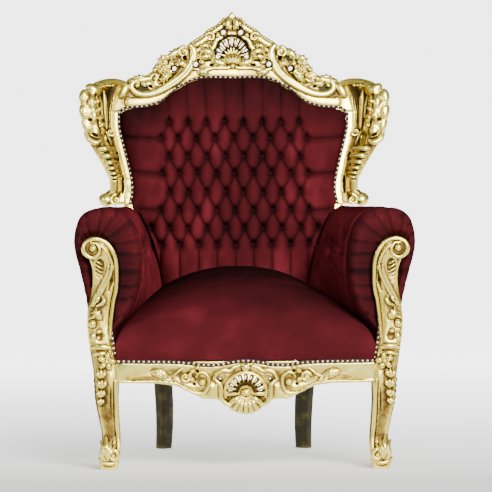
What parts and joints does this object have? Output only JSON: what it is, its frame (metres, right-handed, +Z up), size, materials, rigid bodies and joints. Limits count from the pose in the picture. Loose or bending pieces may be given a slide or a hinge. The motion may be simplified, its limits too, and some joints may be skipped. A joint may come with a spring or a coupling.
{
  "type": "throne",
  "caption": "High-backed carved and gilt armchair-throne with winged crest, tufted velvet back, padded rolled arms and a domed seat.",
  "frame": {"origin": "on the floor, under the middle of the chair's bounding box", "axes": "+Z up, -Y the way the sitter faces, +X to the right seen from the front"},
  "size_m": [0.9016, 0.7464, 1.2],
  "materials": {
    "gilding": "carved hardwood, pale leaf gilding rubbed over a red-brown ground",
    "dark_wood": "plain wood stained dark olive brown on the legs, gilt above the seat",
    "velvet": "burgundy cotton velvet",
    "nails": "antiqued domed nail heads"
  },
  "bodies": {
    "root": {"crest_rail": "gilding", "wing_left": "gilding", "wing_right": "gilding", "front_leg_left": "gilding", "front_leg_right": "gilding", "rear_leg_left": "dark_wood", "rear_leg_right": "dark_wood", "front_rail": "gilding", "side_rail_left": "gilding", "side_rail_right": "gilding", "back_rail": "dark_wood", "arm_left": "velvet", "arm_right": "velvet", "seat": "velvet", "inside_back": "velvet", "outside_back": "velvet"}
  },
  "joints": []
}
